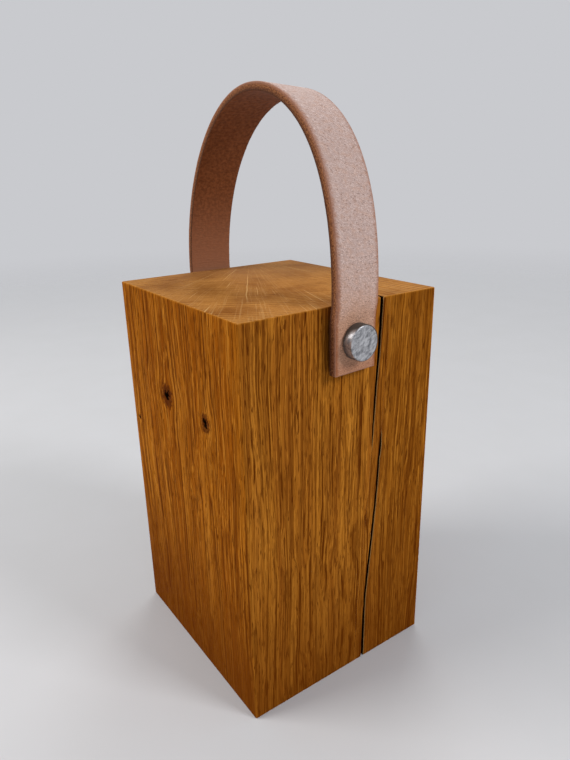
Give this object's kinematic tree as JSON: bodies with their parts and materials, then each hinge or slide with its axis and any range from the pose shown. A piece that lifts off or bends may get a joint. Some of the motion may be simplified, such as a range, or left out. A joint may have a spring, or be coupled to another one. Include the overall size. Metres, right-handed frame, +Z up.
{
  "type": "block door stop",
  "caption": "Heavy square oak block door stop with a leather strap handle hung on turned steel studs, so it can be lifted and carried.",
  "frame": {"origin": "on the floor under the middle of the block", "axes": "+Z up, X along the two bolts through the strap's ends, with the cracked face at +X, Y across the strap"},
  "size_m": [0.1423, 0.111, 0.292],
  "materials": {
    "oak": "oiled solid oak with a drying crack",
    "leather": "vegetable tanned, raw cut edges",
    "turned_steel": "turned, finely scratched",
    "zinc_steel": "zinc plated"
  },
  "bodies": {
    "block": {"oak_block": "oak", "hanger_bolt_front": "zinc_steel", "hanger_bolt_rear": "zinc_steel", "spacer_washer_front": "zinc_steel", "spacer_washer_rear": "zinc_steel", "stud_cap_front": "turned_steel", "stud_cap_rear": "turned_steel"},
    "handle": {"leather_strap": "leather"}
  },
  "joints": [
    {"name": "handle_swing", "type": "hinge", "parent": "block", "child": "handle", "pos_m": [0, 0, 0.1845], "axis": [1, 0, 0], "range_deg": [-45, 45]}
  ]
}
